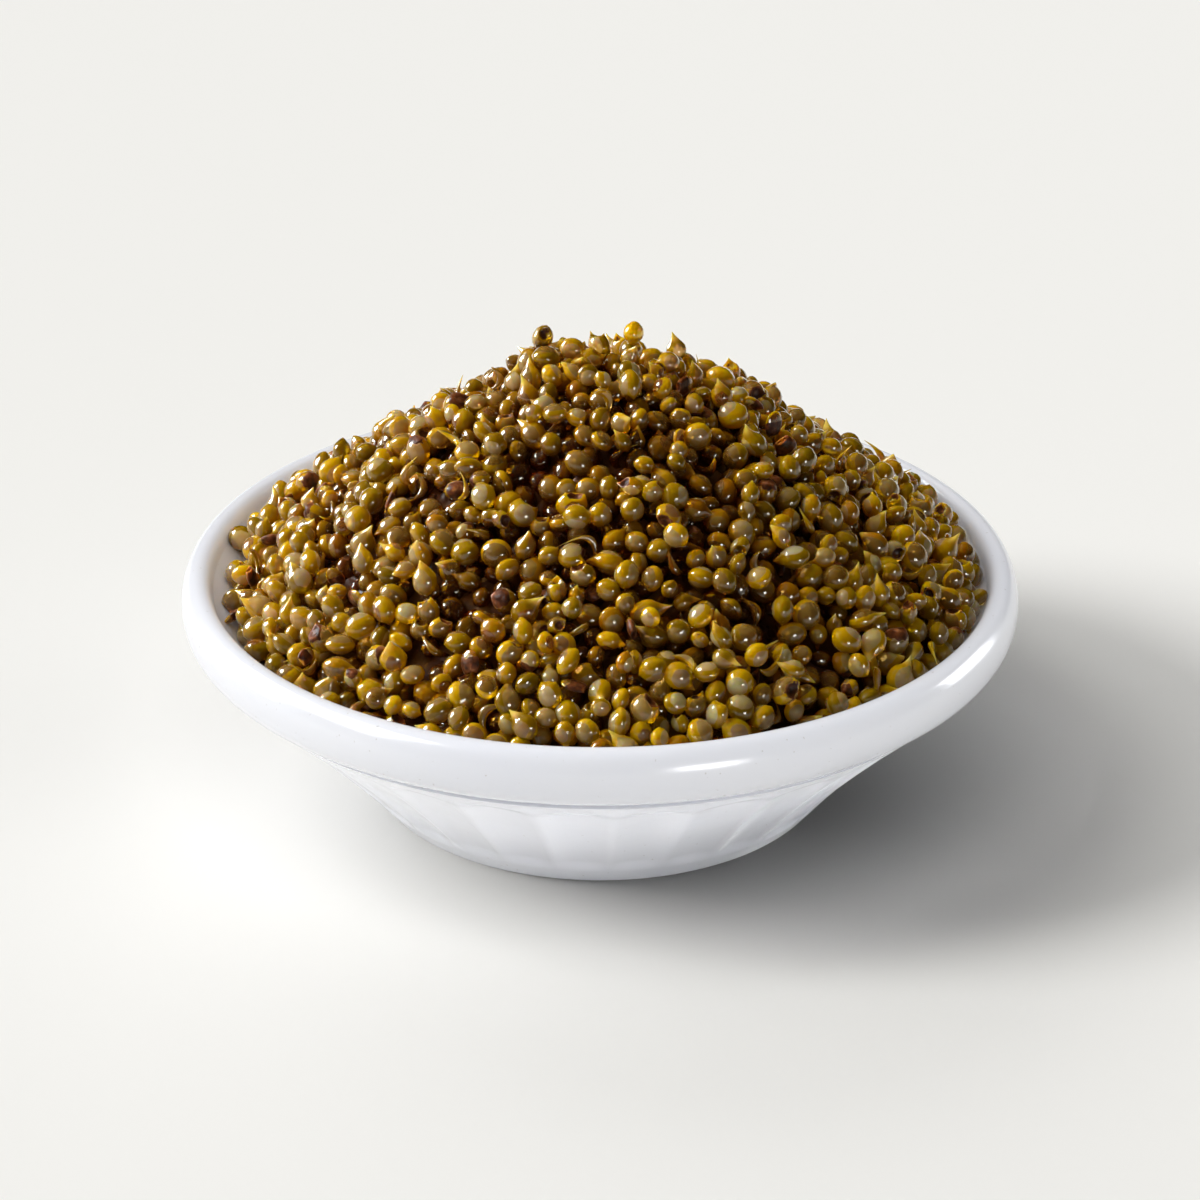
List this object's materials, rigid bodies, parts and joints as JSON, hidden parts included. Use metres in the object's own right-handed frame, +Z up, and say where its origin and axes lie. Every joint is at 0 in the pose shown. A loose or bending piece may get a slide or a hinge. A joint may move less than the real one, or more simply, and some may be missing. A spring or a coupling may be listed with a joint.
{
  "type": "dish of tonburi",
  "caption": "Small round white porcelain dish with a thick rounded rim and a fluted flared side, heaped high with glossy cooked tonburi seeds.",
  "frame": {"origin": "centre of the foot ring, on the surface that the dish stands on", "axes": "+Z up along the dish's axis; -Y towards the camera of the picture; +X to its right"},
  "size_m": [0.066, 0.066, 0.0376],
  "materials": {
    "porcelain": "white glazed porcelain, glossy",
    "tonburi": "moist glossy cooked seeds, olive to brown, translucent grey middles"
  },
  "bodies": {
    "root": {"dish": "porcelain", "tonburi_heap": "tonburi"}
  },
  "joints": []
}
